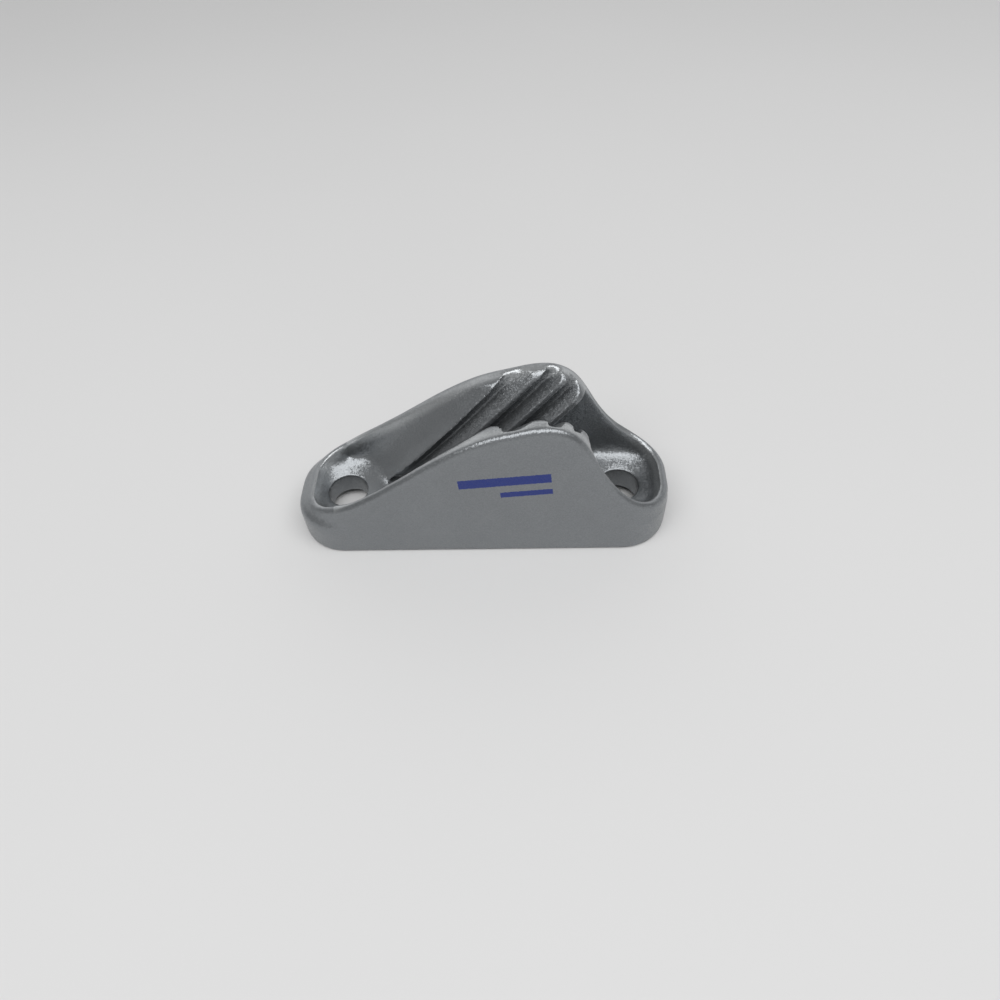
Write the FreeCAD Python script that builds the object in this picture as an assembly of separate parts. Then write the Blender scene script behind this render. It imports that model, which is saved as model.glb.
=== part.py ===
"""A small jam cleat for light control lines, die cast in one piece.

Frame: millimetres. The origin is the middle of the base on the deck, +Z is up,
and +X points to the tail, where the free end of the line leaves the jaws.
The loaded end runs to -X, over the low dish.
"""
import FreeCAD
import Part
import math
import os
from FreeCAD import Matrix, Vector

# Base and plan outline
length = 44.5
width = 13.1
base_corner_radius = 5.5
base_height = 4.6
base_foot_chamfer = 0.2
base_top_chamfer = 0.35
parting_step = 0.1
draft_angle = 3.7

# Nose end of the upper body, set back from the base and rounder in plan
nose_setback = 1.1
nose_corner_radius = 4.3
nose_side_gap = 0.75
nose_blend_radius = 14.0

# Sloped skirt between the nose of the upper body and the edge of the base
skirt_setback = 0.3
skirt_corner_radius = 5.0
skirt_side_gap = 0.4
skirt_foot = 0.3
skirt_nose_rise = 0.35
skirt_rise_rate = 0.3
skirt_end_x = -9.0
skirt_collar_inset = 0.3

# Crest of the side walls in side view, as places along X and heights over the base: the points that
# pull its smooth curve, and its two ends, which run past the body
crest_poles = (
    (-17.85, 0.05),
    (-2.4, 12.6),
    (3.3, 13.5),
    (12.35, 16.5),
    (15.25, 1.65),
)
crest_nose_rise = 0.65
crest_tail_rise = 1.25
crest_overrun = 1.75
rim_wall = 1.15
rim_outer_chamfer = 0.46
rim_inner_chamfer = 0.28

# Floor of the trough, as depths under the top of the base, deeper at the nose
floor_depth_at_nose = 0.6
floor_depth_at_tail = 0.1
floor_foot_radius = 0.6

# Jaws: half of the gap between the ridges at three heights over the base, flaring like a bell mouth
jaw_half_gaps = ((0.6, 0.5), (6.4, 1.05), (13.5, 3.0))
jaw_shoulder_radius = 1.35
shoulder_share = 0.9
jaw_drop = 0.04
jaw_reach = 17.0

# Saw teeth, rising to the tail in side view, with the ridges' places at one height over the base
tooth_angle = 44.0
ridge_places = (-4.7, -0.7, 2.8, 6.6)
ridge_places_rise = 6.4
tooth_depth = 1.35
tooth_land = 0.7
tooth_step_run = 0.35
tooth_root_end = 1.7

# Scooped surfaces before the first tooth and after the last
lead_in_run = 5.2
lead_in_bend = 2.3
exit_run = 1.6
exit_bend = 0.35

# Screw holes and the dished seats for their heads
hole_spacing = 33.0
hole_diameter = 4.8
nose_seat_wall = 1.0
nose_seat_depth = 0.3
tail_seat_wall = 1.0
tail_seat_depth = 0.35

# Recess under the base, which leaves a flat seat all round
underside_depth = 1.0
underside_wall = 1.5
underside_edge_chamfer = 0.3

half_length = length / 2
half_width = width / 2
draft_rate = math.tan(math.radians(draft_angle))
tooth_rate = 1 / math.tan(math.radians(tooth_angle))

# Working allowances: how deep pieces run into each other, how far cuts run past, what counts as touching
foot_overlap = 0.8
overcut = 1.0
touching = 0.01
above_all = base_height + max(rise for x, rise in crest_poles) + overcut


def turned(centre_x, centre_y, radius, angle):
    """The point of a circle in plan at an angle in degrees."""
    turn = math.radians(angle)
    return Vector(centre_x + radius * math.cos(turn), centre_y + radius * math.sin(turn), 0)


def arc(centre_x, centre_y, radius, start, end):
    """An arc in plan between two angles in degrees."""
    points = [turned(centre_x, centre_y, radius, angle) for angle in (start, (start + end) / 2, end)]
    return Part.Arc(*points).toShape()


def line(start, end):
    return Part.LineSegment(start, end).toShape()


def mirrored_outline(upper):
    """A closed wire from its +Y half, whose edges run from the nose to the tail on the X axis."""
    lower = [edge.mirror(Vector(0, 0, 0), Vector(0, 1, 0)) for edge in upper]
    return Part.Wire(Part.__sortEdges__(upper + lower))


def base_outline(inset):
    """The rounded rectangle of the base, moved inward by an inset."""
    x = half_length - base_corner_radius
    y = half_width - base_corner_radius
    radius = base_corner_radius - inset
    end = half_length - inset
    side = half_width - inset
    upper = [
        line(Vector(-end, 0, 0), Vector(-end, y, 0)),
        arc(-x, y, radius, 180, 90),
        line(Vector(-x, side, 0), Vector(x, side, 0)),
        arc(x, y, radius, 90, 0),
        line(Vector(end, y, 0), Vector(end, 0, 0)),
    ]
    return mirrored_outline(upper)


def nosed_outline(setback, corner_radius, side_gap, inset):
    """An outline whose nose is set back, and blends into the sides."""
    nose_end = half_length - setback
    nose_x = corner_radius - nose_end
    nose_y = half_width - parting_step - side_gap - corner_radius
    blend_y = half_width - parting_step - nose_blend_radius
    centres = nose_blend_radius - corner_radius
    blend_x = nose_x + math.sqrt(centres ** 2 - (nose_y - blend_y) ** 2)
    meeting = 180 - math.degrees(math.atan2(nose_y - blend_y, blend_x - nose_x))
    tail_x = half_length - base_corner_radius
    tail_y = half_width - base_corner_radius
    tail_radius = base_corner_radius - parting_step - inset
    side = half_width - parting_step - inset
    tail_end = half_length - parting_step - inset
    nose_left = inset - nose_end
    upper = [
        line(Vector(nose_left, 0, 0), Vector(nose_left, nose_y, 0)),
        arc(nose_x, nose_y, corner_radius - inset, 180, meeting),
        arc(blend_x, blend_y, nose_blend_radius - inset, meeting, 90),
        line(Vector(blend_x, side, 0), Vector(tail_x, side, 0)),
        arc(tail_x, tail_y, tail_radius, 90, 0),
        line(Vector(tail_end, tail_y, 0), Vector(tail_end, 0, 0)),
    ]
    return mirrored_outline(upper)


def drafted(inset, bottom, top):
    """The upper body, or its inside, leaning inward with the draft of the die."""
    wires = []
    for height in (bottom, top):
        lean = draft_rate * (height - base_height)
        wire = nosed_outline(nose_setback, nose_corner_radius, nose_side_gap, inset + lean)
        wire.translate(Vector(0, 0, height))
        wires.append(wire)
    return Part.makeLoft(wires, True, True)


def crest_edge():
    end = half_length + crest_overrun
    places = [(-end, crest_nose_rise), *crest_poles, (end, crest_tail_rise)]
    curve = Part.BSplineCurve()
    curve.buildFromPoles([Vector(x, 0, base_height + rise) for x, rise in places], False, 3)
    return curve.toShape()


def above_crest(drop):
    """All that lies over the crest, lowered by a drop."""
    edge = crest_edge()
    first = edge.Vertexes[0].Point
    last = edge.Vertexes[-1].Point
    high_first = Vector(first.x, 0, above_all + 2 * overcut)
    high_last = Vector(last.x, 0, above_all + 2 * overcut)
    wire = Part.Wire([edge, line(last, high_last), line(high_last, high_first), line(high_first, first)])
    solid = Part.Face(wire).extrude(Vector(0, 2 * width, 0))
    solid.translate(Vector(0, -width, -drop))
    return solid


def crest_height(x):
    edge = crest_edge()
    upright = line(Vector(x, 0, 0), Vector(x, 0, above_all))
    return edge.distToShape(upright)[1][0][0].z


def face_through(shape, point):
    """The face of a shape that a point lies on."""
    vertex = Part.Vertex(point)
    return min(shape.Faces, key=lambda face: face.distToShape(vertex)[0])


def floor_height(x):
    slope = (floor_depth_at_nose - floor_depth_at_tail) / length
    return base_height - floor_depth_at_tail + slope * (x - half_length)


def trough():
    """What is taken out between the side walls, with a floor that falls to the nose."""
    inside = drafted(rim_wall, floor_height(-half_length) - overcut, above_all)
    nose = Vector(-length, -width, floor_height(-length))
    tail = Vector(length, -width, floor_height(length))
    high_tail = Vector(length, -width, above_all + overcut)
    high_nose = Vector(-length, -width, above_all + overcut)
    side = Part.Face(Part.makePolygon([nose, tail, high_tail, high_nose, nose]))
    inside = inside.common(side.extrude(Vector(0, 2 * width, 0)))
    floor = face_through(inside, Vector(0, 0, floor_height(0)))
    return inside.makeFillet(floor_foot_radius, floor.Edges)


def base():
    solid = Part.Face(base_outline(0)).extrude(Vector(0, 0, base_height))
    foot = [edge for edge in solid.Edges if edge.BoundBox.ZMax < touching]
    solid = solid.makeChamfer(base_foot_chamfer, foot)
    top = [edge for edge in solid.Edges if edge.BoundBox.ZMin > base_height - touching]
    return solid.makeChamfer(base_top_chamfer, top)


def skirt():
    """The sloped surface round the nose, which rises with the crest."""
    foot = nosed_outline(skirt_setback, skirt_corner_radius, skirt_side_gap, 0)
    foot.translate(Vector(0, 0, base_height - skirt_foot))
    slant = Matrix()
    slant.A31 = skirt_rise_rate
    slant.A34 = base_height + skirt_nose_rise + skirt_rise_rate * (half_length - nose_setback)
    collar = nosed_outline(nose_setback, nose_corner_radius, nose_side_gap, skirt_collar_inset)
    collar = Part.Wire(collar.transformGeometry(slant).Edges)
    around = Part.makeLoft([foot, collar], True, True)
    front = Part.makeBox(length, 2 * width, above_all, Vector(skirt_end_x - length, -width, 0))
    return around.common(front)


def walled_body():
    """The base and the upper body, with the trough and a crest that is eased on both sides."""
    body = drafted(0, base_height - foot_overlap, above_all).cut(above_crest(0))
    top = face_through(body, Vector(0, 0, crest_height(0)))
    body = body.makeChamfer(rim_outer_chamfer, top.Edges)
    body = body.fuse([base(), skirt()]).cut(trough())
    lean = draft_rate * (crest_height(0) - base_height)
    rim_middle = half_width - parting_step - lean - (rim_outer_chamfer + rim_wall) / 2
    top = face_through(body, Vector(0, rim_middle, crest_height(0)))
    inner = min(top.Wires, key=lambda wire: wire.BoundBox.DiagonalLength)
    return body.makeChamfer(rim_inner_chamfer, inner.Edges)


def jaw_y(height):
    """Half of the gap between the ridges: the parabola through the three given heights."""
    (low, at_low), (middle, at_middle), (high, at_high) = jaw_half_gaps
    rise = height - base_height
    first = (at_middle - at_low) / (middle - low)
    second = ((at_high - at_middle) / (high - middle) - first) / (high - low)
    return at_low + (rise - low) * (first + second * (rise - middle))


def wall_y(height):
    """The inside face of the +Y wall."""
    return half_width - parting_step - rim_wall - draft_rate * (height - base_height)


def ridge_x(number, height):
    return ridge_places[number] + tooth_rate * (height - base_height - ridge_places_rise)


def slanted(profile, bottom, top):
    """A smooth solid through the profiles that a function gives at three heights."""
    wires = []
    for height in (bottom, (bottom + top) / 2, top):
        wire = Part.Wire(profile(height))
        wire.translate(Vector(0, 0, height))
        wires.append(wire)
    return Part.makeLoft(wires, True, False)


def closed(points):
    return [line(a, b) for a, b in zip(points, points[1:] + points[:1])]


def bend(start, corner, end):
    curve = Part.BezierCurve()
    curve.setPoles([start, corner, end])
    return curve.toShape()


def jaw_blank(bottom, top):
    """The +Y jaw before its teeth, with a rounded shoulder under the crest."""
    middle = (bottom + top) / 2
    pull = 2 * jaw_y(middle) - (jaw_y(bottom) + jaw_y(top)) / 2
    low = Vector(-jaw_reach, jaw_y(bottom), bottom)
    high = Vector(-jaw_reach, jaw_y(top), top)
    high_wall = Vector(-jaw_reach, wall_y(top) + rim_wall / 2, top)
    low_wall = Vector(-jaw_reach, wall_y(bottom) + rim_wall / 2, bottom)
    section = Part.Wire([
        bend(low, Vector(-jaw_reach, pull, middle), high),
        line(high, high_wall),
        line(high_wall, low_wall),
        line(low_wall, low),
    ])
    blank = Part.Face(section).extrude(Vector(2 * jaw_reach, 0, 0)).cut(above_crest(jaw_drop))
    height = crest_height(0) - jaw_drop
    shoulder = Part.Vertex(Vector(0, jaw_y(height), height))
    edge = min(blank.Edges, key=lambda item: item.distToShape(shoulder)[0])
    summit = base_height + jaw_half_gaps[-1][0]
    room = wall_y(summit) + rim_wall / 2 - jaw_y(summit)
    return blank.makeFillet(min(jaw_shoulder_radius, shoulder_share * room), [edge])


def lead_in(bottom, top):
    """What the line sweeps past on its way from the nose dish to the first ridge."""
    def profile(height):
        ridge = ridge_x(0, height)
        start = Vector(ridge - lead_in_run, wall_y(height), 0)
        corner = Vector(ridge - lead_in_bend, wall_y(height), 0)
        end = Vector(ridge, jaw_y(height), 0)
        middle = Vector(ridge, -width, 0)
        far_middle = Vector(-length, -width, 0)
        far_wall = Vector(-length, width, 0)
        wall = Vector(ridge - lead_in_run, width, 0)
        return [
            bend(start, corner, end),
            line(end, middle),
            line(middle, far_middle),
            line(far_middle, far_wall),
            line(far_wall, wall),
            line(wall, start),
        ]
    return slanted(profile, bottom, top)


def exit_scoop(bottom, top):
    """What is open behind the last ridge, down to the tail dish."""
    def profile(height):
        ridge = ridge_x(len(ridge_places) - 1, height)
        start = Vector(ridge, jaw_y(height), 0)
        corner = Vector(ridge + exit_bend, wall_y(height), 0)
        end = Vector(ridge + exit_run, wall_y(height), 0)
        wall = Vector(ridge + exit_run, width, 0)
        far_wall = Vector(length, width, 0)
        far_middle = Vector(length, -width, 0)
        middle = Vector(ridge, -width, 0)
        return [
            bend(start, corner, end),
            line(end, wall),
            line(wall, far_wall),
            line(far_wall, far_middle),
            line(far_middle, middle),
            line(middle, start),
        ]
    return slanted(profile, bottom, top)


def tooth_gap(number, bottom, top):
    """The gap behind one ridge: a steep step, a root and a long ramp to the next land."""
    def profile(height):
        ridge = ridge_x(number, height)
        land = jaw_y(height)
        root = land + tooth_depth
        next_land = ridge_x(number + 1, height) - tooth_land
        return closed([
            Vector(ridge, land - overcut, 0),
            Vector(ridge, land, 0),
            Vector(ridge + tooth_step_run, root, 0),
            Vector(ridge + tooth_root_end, root, 0),
            Vector(next_land, land, 0),
            Vector(next_land, land - overcut, 0),
        ])
    return slanted(profile, bottom, top)


def jaw():
    """The +Y jaw: four slanted ridges between two scooped surfaces."""
    bottom = base_height - foot_overlap
    solid = jaw_blank(bottom, above_all)
    solid = solid.cut(lead_in(bottom - overcut, above_all))
    solid = solid.cut(exit_scoop(bottom - overcut, above_all))
    for number in range(len(ridge_places) - 1):
        solid = solid.cut(tooth_gap(number, bottom - overcut, above_all))
    return solid


def screw_seat(x, wall, depth):
    """A screw hole with the shallow dish that its head sits in."""
    floor = floor_height(x)
    radius = hole_diameter / 2
    hole = Part.makeCylinder(radius, above_all, Vector(x, 0, -overcut))
    dish = Part.makeCone(radius, radius + wall, depth, Vector(x, 0, floor - depth))
    mouth = Part.makeCylinder(radius + wall, overcut, Vector(x, 0, floor))
    return hole.fuse([dish, mouth])


def underside():
    recess = Part.Face(base_outline(underside_wall)).extrude(Vector(0, 0, underside_depth + overcut))
    recess.translate(Vector(0, 0, -overcut))
    roof = [edge for edge in recess.Edges if edge.BoundBox.ZMin > underside_depth - touching]
    return recess.makeChamfer(underside_edge_chamfer, roof)


def cleat_body():
    side = jaw()
    other_side = side.mirror(Vector(0, 0, 0), Vector(0, 1, 0))
    solid = walled_body().fuse([side, other_side])
    solid = solid.cut(underside())
    solid = solid.cut(screw_seat(-hole_spacing / 2, nose_seat_wall, nose_seat_depth))
    solid = solid.cut(screw_seat(hole_spacing / 2, tail_seat_wall, tail_seat_depth))
    return solid.removeSplitter()


os.makedirs("parts", exist_ok=True)
shape = cleat_body()
print("solids", len(shape.Solids), "valid", shape.isValid(), "volume", round(shape.Volume, 2))
print("box", shape.BoundBox)
shape.exportStep("parts/cleat_body.step")
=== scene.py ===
"""Looks of a small cast jam cleat: soft casting edges, a metallic coat, the floor, light and camera.

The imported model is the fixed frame, in metres. The cleat lies on its deck face, with its nose to -X, its
tail to +X and its printed side to -Y. Values whose names end in _mm are millimetres, and other lengths
are metres.
"""
import math

import bpy
import numpy as np
from mathutils import Matrix, Quaternion, Vector


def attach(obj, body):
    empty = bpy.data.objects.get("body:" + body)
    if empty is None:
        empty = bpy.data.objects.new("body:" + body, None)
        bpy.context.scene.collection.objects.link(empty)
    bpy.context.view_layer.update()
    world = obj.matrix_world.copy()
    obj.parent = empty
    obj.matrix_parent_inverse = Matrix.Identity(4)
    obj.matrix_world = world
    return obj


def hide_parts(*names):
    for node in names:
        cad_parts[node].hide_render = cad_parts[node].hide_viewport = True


MM = 0.001

# Sizes of the casting
width_mm = 13.1
parting_step_mm = 0.1
half_width_mm = width_mm / 2 - parting_step_mm
base_height_mm = 4.6
rim_wall_mm = 1.15
hole_places_mm = (-16.5, 16.5)
hole_radius_mm = 2.4

# Corners of the walls in plan: the centre along the cleat, the centre across it, and the radius
nose_corner_mm = (-16.85, 1.4, 4.3)
tail_corner_mm = (16.75, 1.05, 5.4)

# Ridges of the jaws: the places of the first and the last along the cleat, at one height
first_ridge_mm = -4.7
last_ridge_mm = 6.6
ridge_height_mm = 11.0

# How far the walls lean in and the ridges run on for each millimetre up: 3.7 and 44 degrees
draft_rate = 0.0647
ridge_rate = 1.0355

# Even mesh that is softened, and the most triangles that it keeps
weld_mm = 0.0005
remesh_depth = 9
remesh_fill = 0.6
most_triangles = 185000

# Softening: how far each pass draws a point toward its neighbours, and how many passes each zone has
draw_share = 0.5
edge_passes = 4
rim_passes = 20
skirt_passes = 50
shoulder_passes = 30
dish_passes = 420

# Height of the wall tops, taken in steps along the cleat and then as a running mean
top_step_mm = 0.3
top_mean_steps = 5

# Zones of the softening. Each pair is where a zone starts and where it is full.
rim_past_wall_mm = (0.3, -0.05)
rim_over_base_mm = (-0.6, 0.1)
rim_share_on_base = 0.3
skirt_from_below_mm = (-1.5, -0.9)
skirt_from_above_mm = (1.6, 0.9)
skirt_toward_nose_mm = (-7.5, -10.5)
skirt_wall_depth_mm = (1.0, 0.7)
shoulder_before_jaws_mm = (0.2, 1.2)
shoulder_past_nose_mm = (-7.0, -3.0)
shoulder_wall_depth_mm = (0.4, 0.8)
shoulder_below_top_mm = (2.4, 1.4)
dish_before_jaws_mm = (0.9, 2.0)
dish_low_run_mm = 1.2
dish_low_heights_mm = (8.0, 5.0)
dish_over_base_mm = (-1.6, -1.3)
dish_past_wall_mm = (-0.2, 0.0)
dish_below_top_mm = (0.3, 0.9)
dish_past_hole_mm = (0.1, 0.4)
behind_jaws_mm = (2.2, 3.2)

# Roll of the wall tops to the inside: its depth, the share of the wall that stays, and its zones
rim_roll_mm = 0.3
level_wall_share = 0.35
roll_share_along_jaws = 0.15
roll_past_nose_mm = (-14.0, -8.0)
roll_before_jaws_mm = (1.0, -2.0)
roll_at_tail_mm = (12.0, 14.0)
roll_off_middle_mm = (2.0, 3.5)
roll_below_top_mm = (2.2, 0.2)

# Inner edges of the wall tops, where a lighter coat is painted on as a highlight
highlight_wall_depth_mm = (0.5, 0.95)
highlight_past_wall_mm = (1.0, 0.2)
highlight_below_top_mm = (1.6, 0.6)

# Coat: linear colours, and how many flakes, clouds and ripples there are in a metre
coat_dark = (0.205, 0.216, 0.226, 1)
coat_light = (0.285, 0.298, 0.310, 1)
# Lighter coat painted on the inner edges of the wall tops, as a painted highlight
highlight_coat_dark = (0.35, 0.365, 0.375, 1)
highlight_coat_light = (0.48, 0.495, 0.505, 1)
flakes_per_metre = 9000.0
clouds_per_metre = 260.0
ripples_per_metre = 2600.0
flake_contrast = 0.45
cloud_contrast = 0.4
flake_tilt = 0.21
ripple_height_mm = 0.03
ripple_strength = 0.25
coat_metallic = 0.80
coat_roughness = 0.32
roughness_spread = 0.10

# Two bars printed on the near side: each has its ends along the print and its edges across it
ink = (0.012, 0.030, 0.20, 1)
ink_metallic = 0.10
print_slant_radians = 0.09
print_face_mm = -4.9
print_softness_mm = 0.05
ink_wander_mm = 0.16
ink_wanders_per_metre = 5200.0
upper_bar_mm = ((-1.0, 9.2), (11.0, 12.3))
lower_bar_mm = ((3.4, 9.2), (9.2, 10.0))

# Paper floor: its half width, how far it lies under the deck face, and its finish
floor_reach = 3.0
floor_drop_mm = 0.02
paper_dark = 0.66
paper_light = 0.70
paper_roughness = 0.9
paper_clouds_per_metre = 9.0

# Brightness of the room on each side, and where each side starts, with the softness of that edge
front_level = 0.55
side_level = 0.26
back_level = 0.98
ceiling_level = 0.24
front_edge = (-0.75, 0.20)
back_edge = (0.35, 0.35)
ceiling_edge = (0.58, 0.30)

# Lamp in front of the cleat and high above it, with its power in watts
key_place = (0.02, -0.13, 0.43)
key_size = (0.80, 0.30)
key_power = 2.22

# Camera, worked out from the outline of the cleat
camera_place_mm = (5.57, -56.20, 71.56)
camera_target_mm = (2.072, 0.0, 1.402)
camera_roll_degrees = -3.60
camera_lens_mm = 25.987
camera_sensor_mm = 36.0
camera_clip = (0.005, 20.0)


class Shade:
    """A socket that adds Math nodes when it is used in an expression."""

    def __init__(self, nodes, socket):
        self.nodes = nodes
        self.socket = socket

    def maths(self, operation, *values):
        settings = {"operation": operation}
        return self.nodes.add("ShaderNodeMath", settings, dict(enumerate(values)))

    def __add__(self, other):
        return self.maths("ADD", self, other)

    __radd__ = __add__

    def __sub__(self, other):
        return self.maths("SUBTRACT", self, other)

    def __rsub__(self, other):
        return self.maths("SUBTRACT", other, self)

    def __mul__(self, other):
        return self.maths("MULTIPLY", self, other)

    __rmul__ = __mul__

    def most(self, other):
        return self.maths("MAXIMUM", self, other)

    def over(self, edge, softness):
        """1 where this is above the edge, with a soft step."""
        step = {"interpolation_type": "SMOOTHSTEP"}
        values = {"Value": self, "From Min": edge - softness, "From Max": edge + softness}
        return self.nodes.add("ShaderNodeMapRange", step, values)

    def under(self, edge, softness):
        """1 where this is below the edge, with a soft step."""
        return 1 - self.over(edge, softness)

    def between(self, edges, softness):
        """1 between the two edges, with soft steps."""
        return self.over(edges[0], softness) * self.under(edges[1], softness)


class Nodes:
    """The node tree of one material or of the world."""

    def __init__(self, owner):
        owner.use_nodes = True
        self.tree = owner.node_tree
        self.tree.nodes.clear()

    def put(self, kind, settings=None, values=None):
        """A new node with its settings, and with the values or links of its sockets."""
        node = self.tree.nodes.new(kind)
        for name, value in (settings or {}).items():
            setattr(node, name, value)
        for name, value in (values or {}).items():
            if isinstance(value, Shade):
                self.tree.links.new(value.socket, node.inputs[name])
            else:
                node.inputs[name].default_value = value
        return node

    def add(self, kind, settings=None, values=None, output=0):
        """One output of a new node."""
        return Shade(self, self.put(kind, settings, values).outputs[output])

    def parts(self, vector):
        """The three numbers of a vector or colour."""
        node = self.put("ShaderNodeSeparateXYZ", None, {0: vector})
        return [Shade(self, socket) for socket in node.outputs]

    def mixed(self, share, first, second):
        """The first colour, and the second one by its share."""
        node = self.put("ShaderNodeMix", {"data_type": "RGBA"}, {0: share, 6: first, 7: second})
        return Shade(self, node.outputs[2])

    def moved(self, operation, *values):
        """Vector maths on vectors or colours."""
        return self.add("ShaderNodeVectorMath", {"operation": operation}, dict(enumerate(values)))

    def noise(self, place, scale, detail=2.0):
        """Soft clouds, as many to a metre as the scale says."""
        return self.add("ShaderNodeTexNoise", None, {"Vector": place, "Scale": scale, "Detail": detail})

    def finish(self, kind, shader):
        """Link a shader to the output of the material or the world."""
        output = self.put(kind)
        self.tree.links.new(shader.outputs[0], output.inputs[0])


def grey(level):
    return (level, level, level, 1)


def two_bars(nodes, place):
    """1 on the two printed bars, whose edges waver a little."""
    x, y, z = nodes.parts(place)
    waver = (nodes.noise(place, ink_wanders_per_metre, 1.0) - 0.5) * (ink_wander_mm * MM)
    slant_cos = math.cos(print_slant_radians)
    slant_sin = math.sin(print_slant_radians)
    along = x * slant_cos + z * slant_sin + waver
    across = z * slant_cos - x * slant_sin + waver
    softness = print_softness_mm * MM
    bars = []
    for ends, edges in (upper_bar_mm, lower_bar_mm):
        length = along.between([end * MM for end in ends], softness)
        bars.append(length * across.between([edge * MM for edge in edges], softness))
    return y.under(print_face_mm * MM, softness) * bars[0].most(bars[1])


def silver_coat():
    """A fine metallic coat on a casting, painted lighter on the wall tops as a highlight, with the print on
    its near side.
    """
    material = bpy.data.materials.new("silver_coat")
    nodes = Nodes(material)
    place = nodes.add("ShaderNodeTexCoord", None, None, "Object")
    cells = nodes.put("ShaderNodeTexVoronoi", None, {"Vector": place, "Scale": flakes_per_metre})
    flake_colour = Shade(nodes, cells.outputs["Color"])
    flake = nodes.parts(flake_colour)[0]
    cloud = nodes.noise(place, clouds_per_metre, 3.0)
    ripple = nodes.noise(place, ripples_per_metre)

    tone = 0.5 + (flake - 0.5) * flake_contrast + (cloud - 0.5) * cloud_contrast
    # The lighter coat on the inner edges of the wall tops is a painted highlight
    rim_highlight_share = nodes.add("ShaderNodeAttribute", {"attribute_name": "rim_highlight_share"}, None, "Fac")
    coat = nodes.mixed(tone, coat_dark, coat_light)
    painted_highlight = nodes.mixed(tone, highlight_coat_dark, highlight_coat_light)
    printed = two_bars(nodes, place)
    colour = nodes.mixed(printed, nodes.mixed(rim_highlight_share, coat, painted_highlight), ink)

    tilt = nodes.moved("SUBTRACT", flake_colour, (0.5, 0.5, 0.5))
    tilt = nodes.add("ShaderNodeVectorMath", {"operation": "SCALE"}, {0: tilt, "Scale": flake_tilt})
    bump = {"Height": ripple, "Strength": ripple_strength, "Distance": ripple_height_mm * MM}
    rippled = nodes.add("ShaderNodeBump", None, bump)
    shine = nodes.put("ShaderNodeBsdfPrincipled", None, {
        "Base Color": colour,
        "Metallic": coat_metallic - (coat_metallic - ink_metallic) * printed,
        "Roughness": coat_roughness + (cloud - 0.5) * roughness_spread,
        "Normal": nodes.moved("NORMALIZE", nodes.moved("ADD", rippled, tilt)),
    })
    nodes.finish("ShaderNodeOutputMaterial", shine)
    return material


def pale_paper():
    """Plain matt paper, a little cloudy."""
    material = bpy.data.materials.new("pale_paper")
    nodes = Nodes(material)
    place = nodes.add("ShaderNodeTexCoord", None, None, "Object")
    colour = nodes.mixed(nodes.noise(place, paper_clouds_per_metre), grey(paper_dark), grey(paper_light))
    paper = nodes.put("ShaderNodeBsdfPrincipled", None, {"Base Color": colour, "Roughness": paper_roughness})
    nodes.finish("ShaderNodeOutputMaterial", paper)
    return material


def linked(name, data):
    """A new object in the scene."""
    thing = bpy.data.objects.new(name, data)
    bpy.context.scene.collection.objects.link(thing)
    return thing


def evaluated_mesh(thing):
    """The mesh that an object has after its modifiers."""
    depsgraph = bpy.context.evaluated_depsgraph_get()
    return bpy.data.meshes.new_from_object(thing.evaluated_get(depsgraph))


def remeshed(node, name):
    """A copy of a CAD node's mesh in millimetres, with faces of one even size."""
    mesh = node.data.copy()
    mesh.transform(Matrix.Scale(1 / MM, 4))
    source = linked(name + "_source", mesh)
    weld = source.modifiers.new("weld", "WELD")
    weld.merge_threshold = weld_mm
    remesh = source.modifiers.new("remesh", "REMESH")
    remesh.mode = "SHARP"
    remesh.octree_depth = remesh_depth
    remesh.scale = remesh_fill
    even = evaluated_mesh(source)
    bpy.data.objects.remove(source)
    even.name = name
    return even


def point_places(mesh):
    """The places of a mesh's points, one row each."""
    places = np.empty(len(mesh.vertices) * 3)
    mesh.vertices.foreach_get("co", places)
    return places.reshape(-1, 3)


def edge_ends(mesh):
    """The two points of each edge, one row each."""
    ends = np.empty(len(mesh.edges) * 2, dtype=np.int32)
    mesh.edges.foreach_get("vertices", ends)
    return ends.reshape(-1, 2)


def ramp(values, start, full):
    """0 at the start and 1 where it is full, with a smooth rise."""
    share = np.clip((values - start) / (full - start), 0, 1)
    return share * share * (3 - 2 * share)


def wall_depth(points):
    """How far each point lies in from the outside of the walls, in plan."""
    x, y, z = points.T
    depth = half_width_mm - np.abs(y)
    for corner_x, corner_y, radius in (nose_corner_mm, tail_corner_mm):
        beyond = np.maximum((x - corner_x) * np.sign(corner_x), 0)
        beside = np.maximum(np.abs(y) - corner_y, 0)
        depth = np.where(beyond > 0, radius - np.hypot(beyond, beside), depth)
    return depth - draft_rate * (z - base_height_mm)


def below_top(points):
    """How far each point lies below the wall tops beside it."""
    x, _, z = points.T
    steps = np.round((x - x.min()) / top_step_mm).astype(int)
    tops = np.zeros(steps.max() + 1)
    np.maximum.at(tops, steps, z)
    shares = np.full(top_mean_steps, 1 / top_mean_steps)
    tops = np.convolve(np.pad(tops, top_mean_steps // 2, "edge"), shares, "valid")
    return np.interp(x, x.min() + top_step_mm * np.arange(len(tops)), tops) - z


def off_jaws(points):
    """How far along the cleat each point lies before the first ridge, and how far behind the last one."""
    x, _, z = points.T
    slant = ridge_rate * (z - ridge_height_mm)
    return first_ridge_mm + slant - x, x - last_ridge_mm - slant


def rim_share(points):
    """1 on the rims and the outside of the walls, and less on the base."""
    rims = ramp(wall_depth(points) - rim_wall_mm, *rim_past_wall_mm)
    over_base = ramp(points[:, 2] - base_height_mm, *rim_over_base_mm)
    return rims * (rim_share_on_base + (1 - rim_share_on_base) * over_base)


def skirt_share(points):
    """1 where the skirt runs round the outside of the nose."""
    x, _, z = points.T
    over_base = z - base_height_mm
    band = ramp(over_base, *skirt_from_below_mm) * ramp(over_base, *skirt_from_above_mm)
    return band * ramp(x, *skirt_toward_nose_mm) * ramp(wall_depth(points), *skirt_wall_depth_mm)


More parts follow.
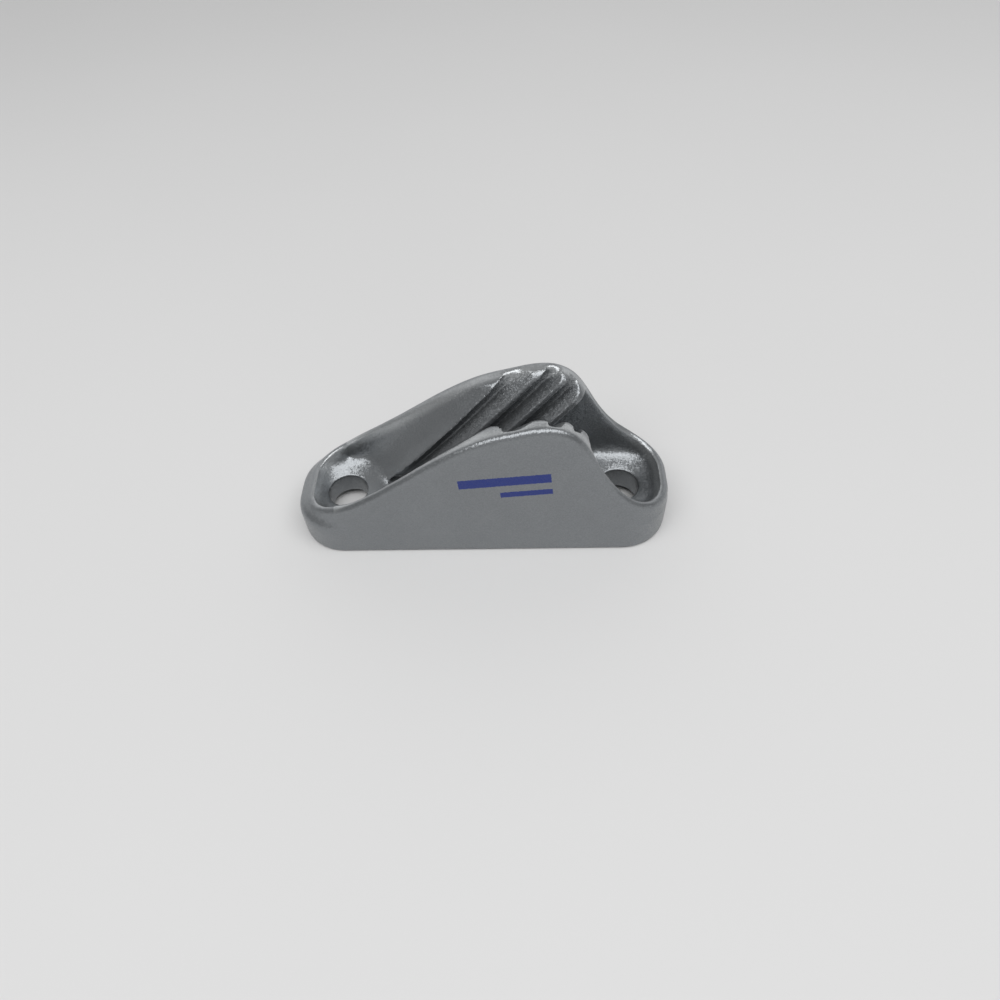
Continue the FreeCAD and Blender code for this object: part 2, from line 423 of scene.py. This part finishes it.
def shoulder_share(points):
    """1 on the inner edges of the wall tops, away from the jaws and the nose."""
    before, behind = off_jaws(points)
    before_jaws = ramp(before, *shoulder_before_jaws_mm) * ramp(points[:, 0], *shoulder_past_nose_mm)
    share = np.maximum(before_jaws, ramp(behind, *behind_jaws_mm))
    share *= ramp(wall_depth(points), *shoulder_wall_depth_mm)
    return share * ramp(below_top(points), *shoulder_below_top_mm)


def dish_share(points):
    """1 inside the nose, its run up to the jaws and the tail, and nothing at the holes and the wall tops."""
    x, y, z = points.T
    before, behind = off_jaws(points)
    before = before + dish_low_run_mm * ramp(z, *dish_low_heights_mm)
    share = np.maximum(ramp(before, *dish_before_jaws_mm), ramp(behind, *behind_jaws_mm))
    share *= ramp(z - base_height_mm, *dish_over_base_mm)
    share *= ramp(wall_depth(points) - rim_wall_mm, *dish_past_wall_mm)
    share *= ramp(below_top(points), *dish_below_top_mm)
    for place in hole_places_mm:
        share *= ramp(np.hypot(x - place, y) - hole_radius_mm, *dish_past_hole_mm)
    return share


def rolled_rims(points):
    """The points with the inner part of the wall tops rolled off, least at the nose and along the jaws."""
    x, y, _ = points.T
    level = level_wall_share
    inward = np.clip((wall_depth(points) / rim_wall_mm - level) / (1 - level), 0, 1) ** 2
    before_jaws = ramp(x, *roll_past_nose_mm) * ramp(x, *roll_before_jaws_mm)
    off_the_jaws = np.maximum(before_jaws, ramp(x, *roll_at_tail_mm))
    share = roll_share_along_jaws + (1 - roll_share_along_jaws) * off_the_jaws
    share *= inward * ramp(np.abs(y), *roll_off_middle_mm) * ramp(below_top(points), *roll_below_top_mm)
    rolled = points.copy()
    rolled[:, 2] -= rim_roll_mm * share
    return rolled


def rounded(points, edges, share, passes):
    """Points drawn toward the middle of their neighbours, each by its share."""
    moving = share > 0
    kept, ends = np.unique(edges[moving[edges].any(axis=1)], return_inverse=True)
    first, second = ends.reshape(-1, 2).T
    count = len(kept)
    neighbours = np.bincount(ends.ravel(), minlength=count)[:, None]
    draw = np.reshape(draw_share * share[kept], (-1, 1))
    places = points[kept]
    for _ in range(passes):
        sums = [np.bincount(first, places[second, axis], count)
                + np.bincount(second, places[first, axis], count) for axis in range(3)]
        places = places + draw * (np.stack(sums, axis=1) / neighbours - places)
    points = points.copy()
    points[kept] = places
    return points


def thin_out(piece):
    """Give a piece a mesh that has no more than the most triangles."""
    triangles = sum(len(face.vertices) - 2 for face in piece.data.polygons)
    thinning = piece.modifiers.new("thinning", "DECIMATE")
    thinning.ratio = min(1.0, most_triangles / triangles)
    mesh = evaluated_mesh(piece)
    piece.modifiers.clear()
    piece.data = mesh
    mesh.name = piece.name


def mark_painted_highlight(mesh):
    """A value at each point that is 1 on the inner edges of the wall tops, where a lighter coat is painted
    on as a highlight.
    """
    points = point_places(mesh) / MM
    depth = wall_depth(points)
    share = ramp(depth, *highlight_wall_depth_mm) * ramp(depth - rim_wall_mm, *highlight_past_wall_mm)
    share *= ramp(below_top(points), *highlight_below_top_mm)
    painted_highlight = mesh.attributes.new("rim_highlight_share", "FLOAT", "POINT")
    painted_highlight.data.foreach_set("value", share.astype(np.float32))


def softened_casting(node, name):
    """A copy of the CAD node with the roundings that a casting and its coat have."""
    mesh = remeshed(node, name)
    edges = edge_ends(mesh)
    as_cast = point_places(mesh)
    zones = (
        (np.ones(len(as_cast)), edge_passes),
        (rim_share(as_cast), rim_passes),
        (skirt_share(as_cast), skirt_passes),
        (shoulder_share(as_cast), shoulder_passes),
        (dish_share(as_cast), dish_passes),
    )
    points = rolled_rims(as_cast)
    for share, passes in zones:
        points = rounded(points, edges, share, passes)
    mesh.vertices.foreach_set("co", (points * MM).ravel())
    mesh.update()
    piece = linked(name, mesh)
    thin_out(piece)
    piece.data.shade_smooth()
    # Mark where the painted highlight goes on the wall tops
    mark_painted_highlight(piece.data)
    return piece


def paper_floor():
    """A wide paper floor just under the deck face."""
    sides = ((-1, -1), (1, -1), (1, 1), (-1, 1))
    sheet = [(x * floor_reach, y * floor_reach, -floor_drop_mm * MM) for x, y in sides]
    mesh = bpy.data.meshes.new("floor")
    mesh.from_pydata(sheet, [], [(0, 1, 2, 3)])
    mesh.materials.append(pale_paper())
    return linked("floor", mesh)


def soft_room():
    """A plain room with a pale wall behind the cleat, and a dimmer front, sides and ceiling."""
    world = bpy.data.worlds.new("room")
    bpy.context.scene.world = world
    nodes = Nodes(world)
    direction = nodes.add("ShaderNodeTexCoord", None, None, "Generated")
    _, back, up = nodes.parts(direction)
    colour = nodes.mixed(back.under(*front_edge), grey(side_level), grey(front_level))
    colour = nodes.mixed(back.over(*back_edge), colour, grey(back_level))
    colour = nodes.mixed(up.over(*ceiling_edge), colour, grey(ceiling_level))
    background = nodes.put("ShaderNodeBackground", None, {"Color": colour})
    nodes.finish("ShaderNodeOutputWorld", background)


def key_lamp():
    """A wide soft lamp that shines at the cleat from the front and above."""
    data = bpy.data.lights.new("key", "AREA")
    data.shape = "RECTANGLE"
    data.size, data.size_y = key_size
    data.energy = key_power
    lamp = linked("key", data)
    lamp.location = Vector(key_place)
    lamp.rotation_mode = "QUATERNION"
    lamp.rotation_quaternion = (-Vector(key_place)).to_track_quat("-Z", "Y")


def photo_camera():
    """The camera at the photograph's place and angle."""
    data = bpy.data.cameras.new("photo_camera")
    data.sensor_width = camera_sensor_mm
    data.lens = camera_lens_mm
    data.clip_start, data.clip_end = camera_clip
    camera = linked("photo_camera", data)
    place = Vector(camera_place_mm) * MM
    target = Vector(camera_target_mm) * MM
    level = (target - place).to_track_quat("-Z", "Y")
    roll = Quaternion((0, 0, 1), math.radians(camera_roll_degrees))
    camera.rotation_mode = "QUATERNION"
    camera.location = place
    camera.rotation_quaternion = level @ roll
    bpy.context.scene.camera = camera


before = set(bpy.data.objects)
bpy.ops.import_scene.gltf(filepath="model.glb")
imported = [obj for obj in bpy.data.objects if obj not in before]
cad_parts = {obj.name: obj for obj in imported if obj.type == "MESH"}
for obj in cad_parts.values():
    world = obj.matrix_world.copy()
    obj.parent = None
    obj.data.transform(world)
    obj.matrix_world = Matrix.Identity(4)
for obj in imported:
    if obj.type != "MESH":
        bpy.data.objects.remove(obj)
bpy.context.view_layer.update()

cleat = softened_casting(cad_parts["cleat_body"], "cleat_casting")
cleat.data.materials.clear()
cleat.data.materials.append(silver_coat())
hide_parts("cleat_body")
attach(cleat, "root")

paper_floor()
soft_room()
key_lamp()
photo_camera()
bpy.context.scene.view_settings.view_transform = "Standard"
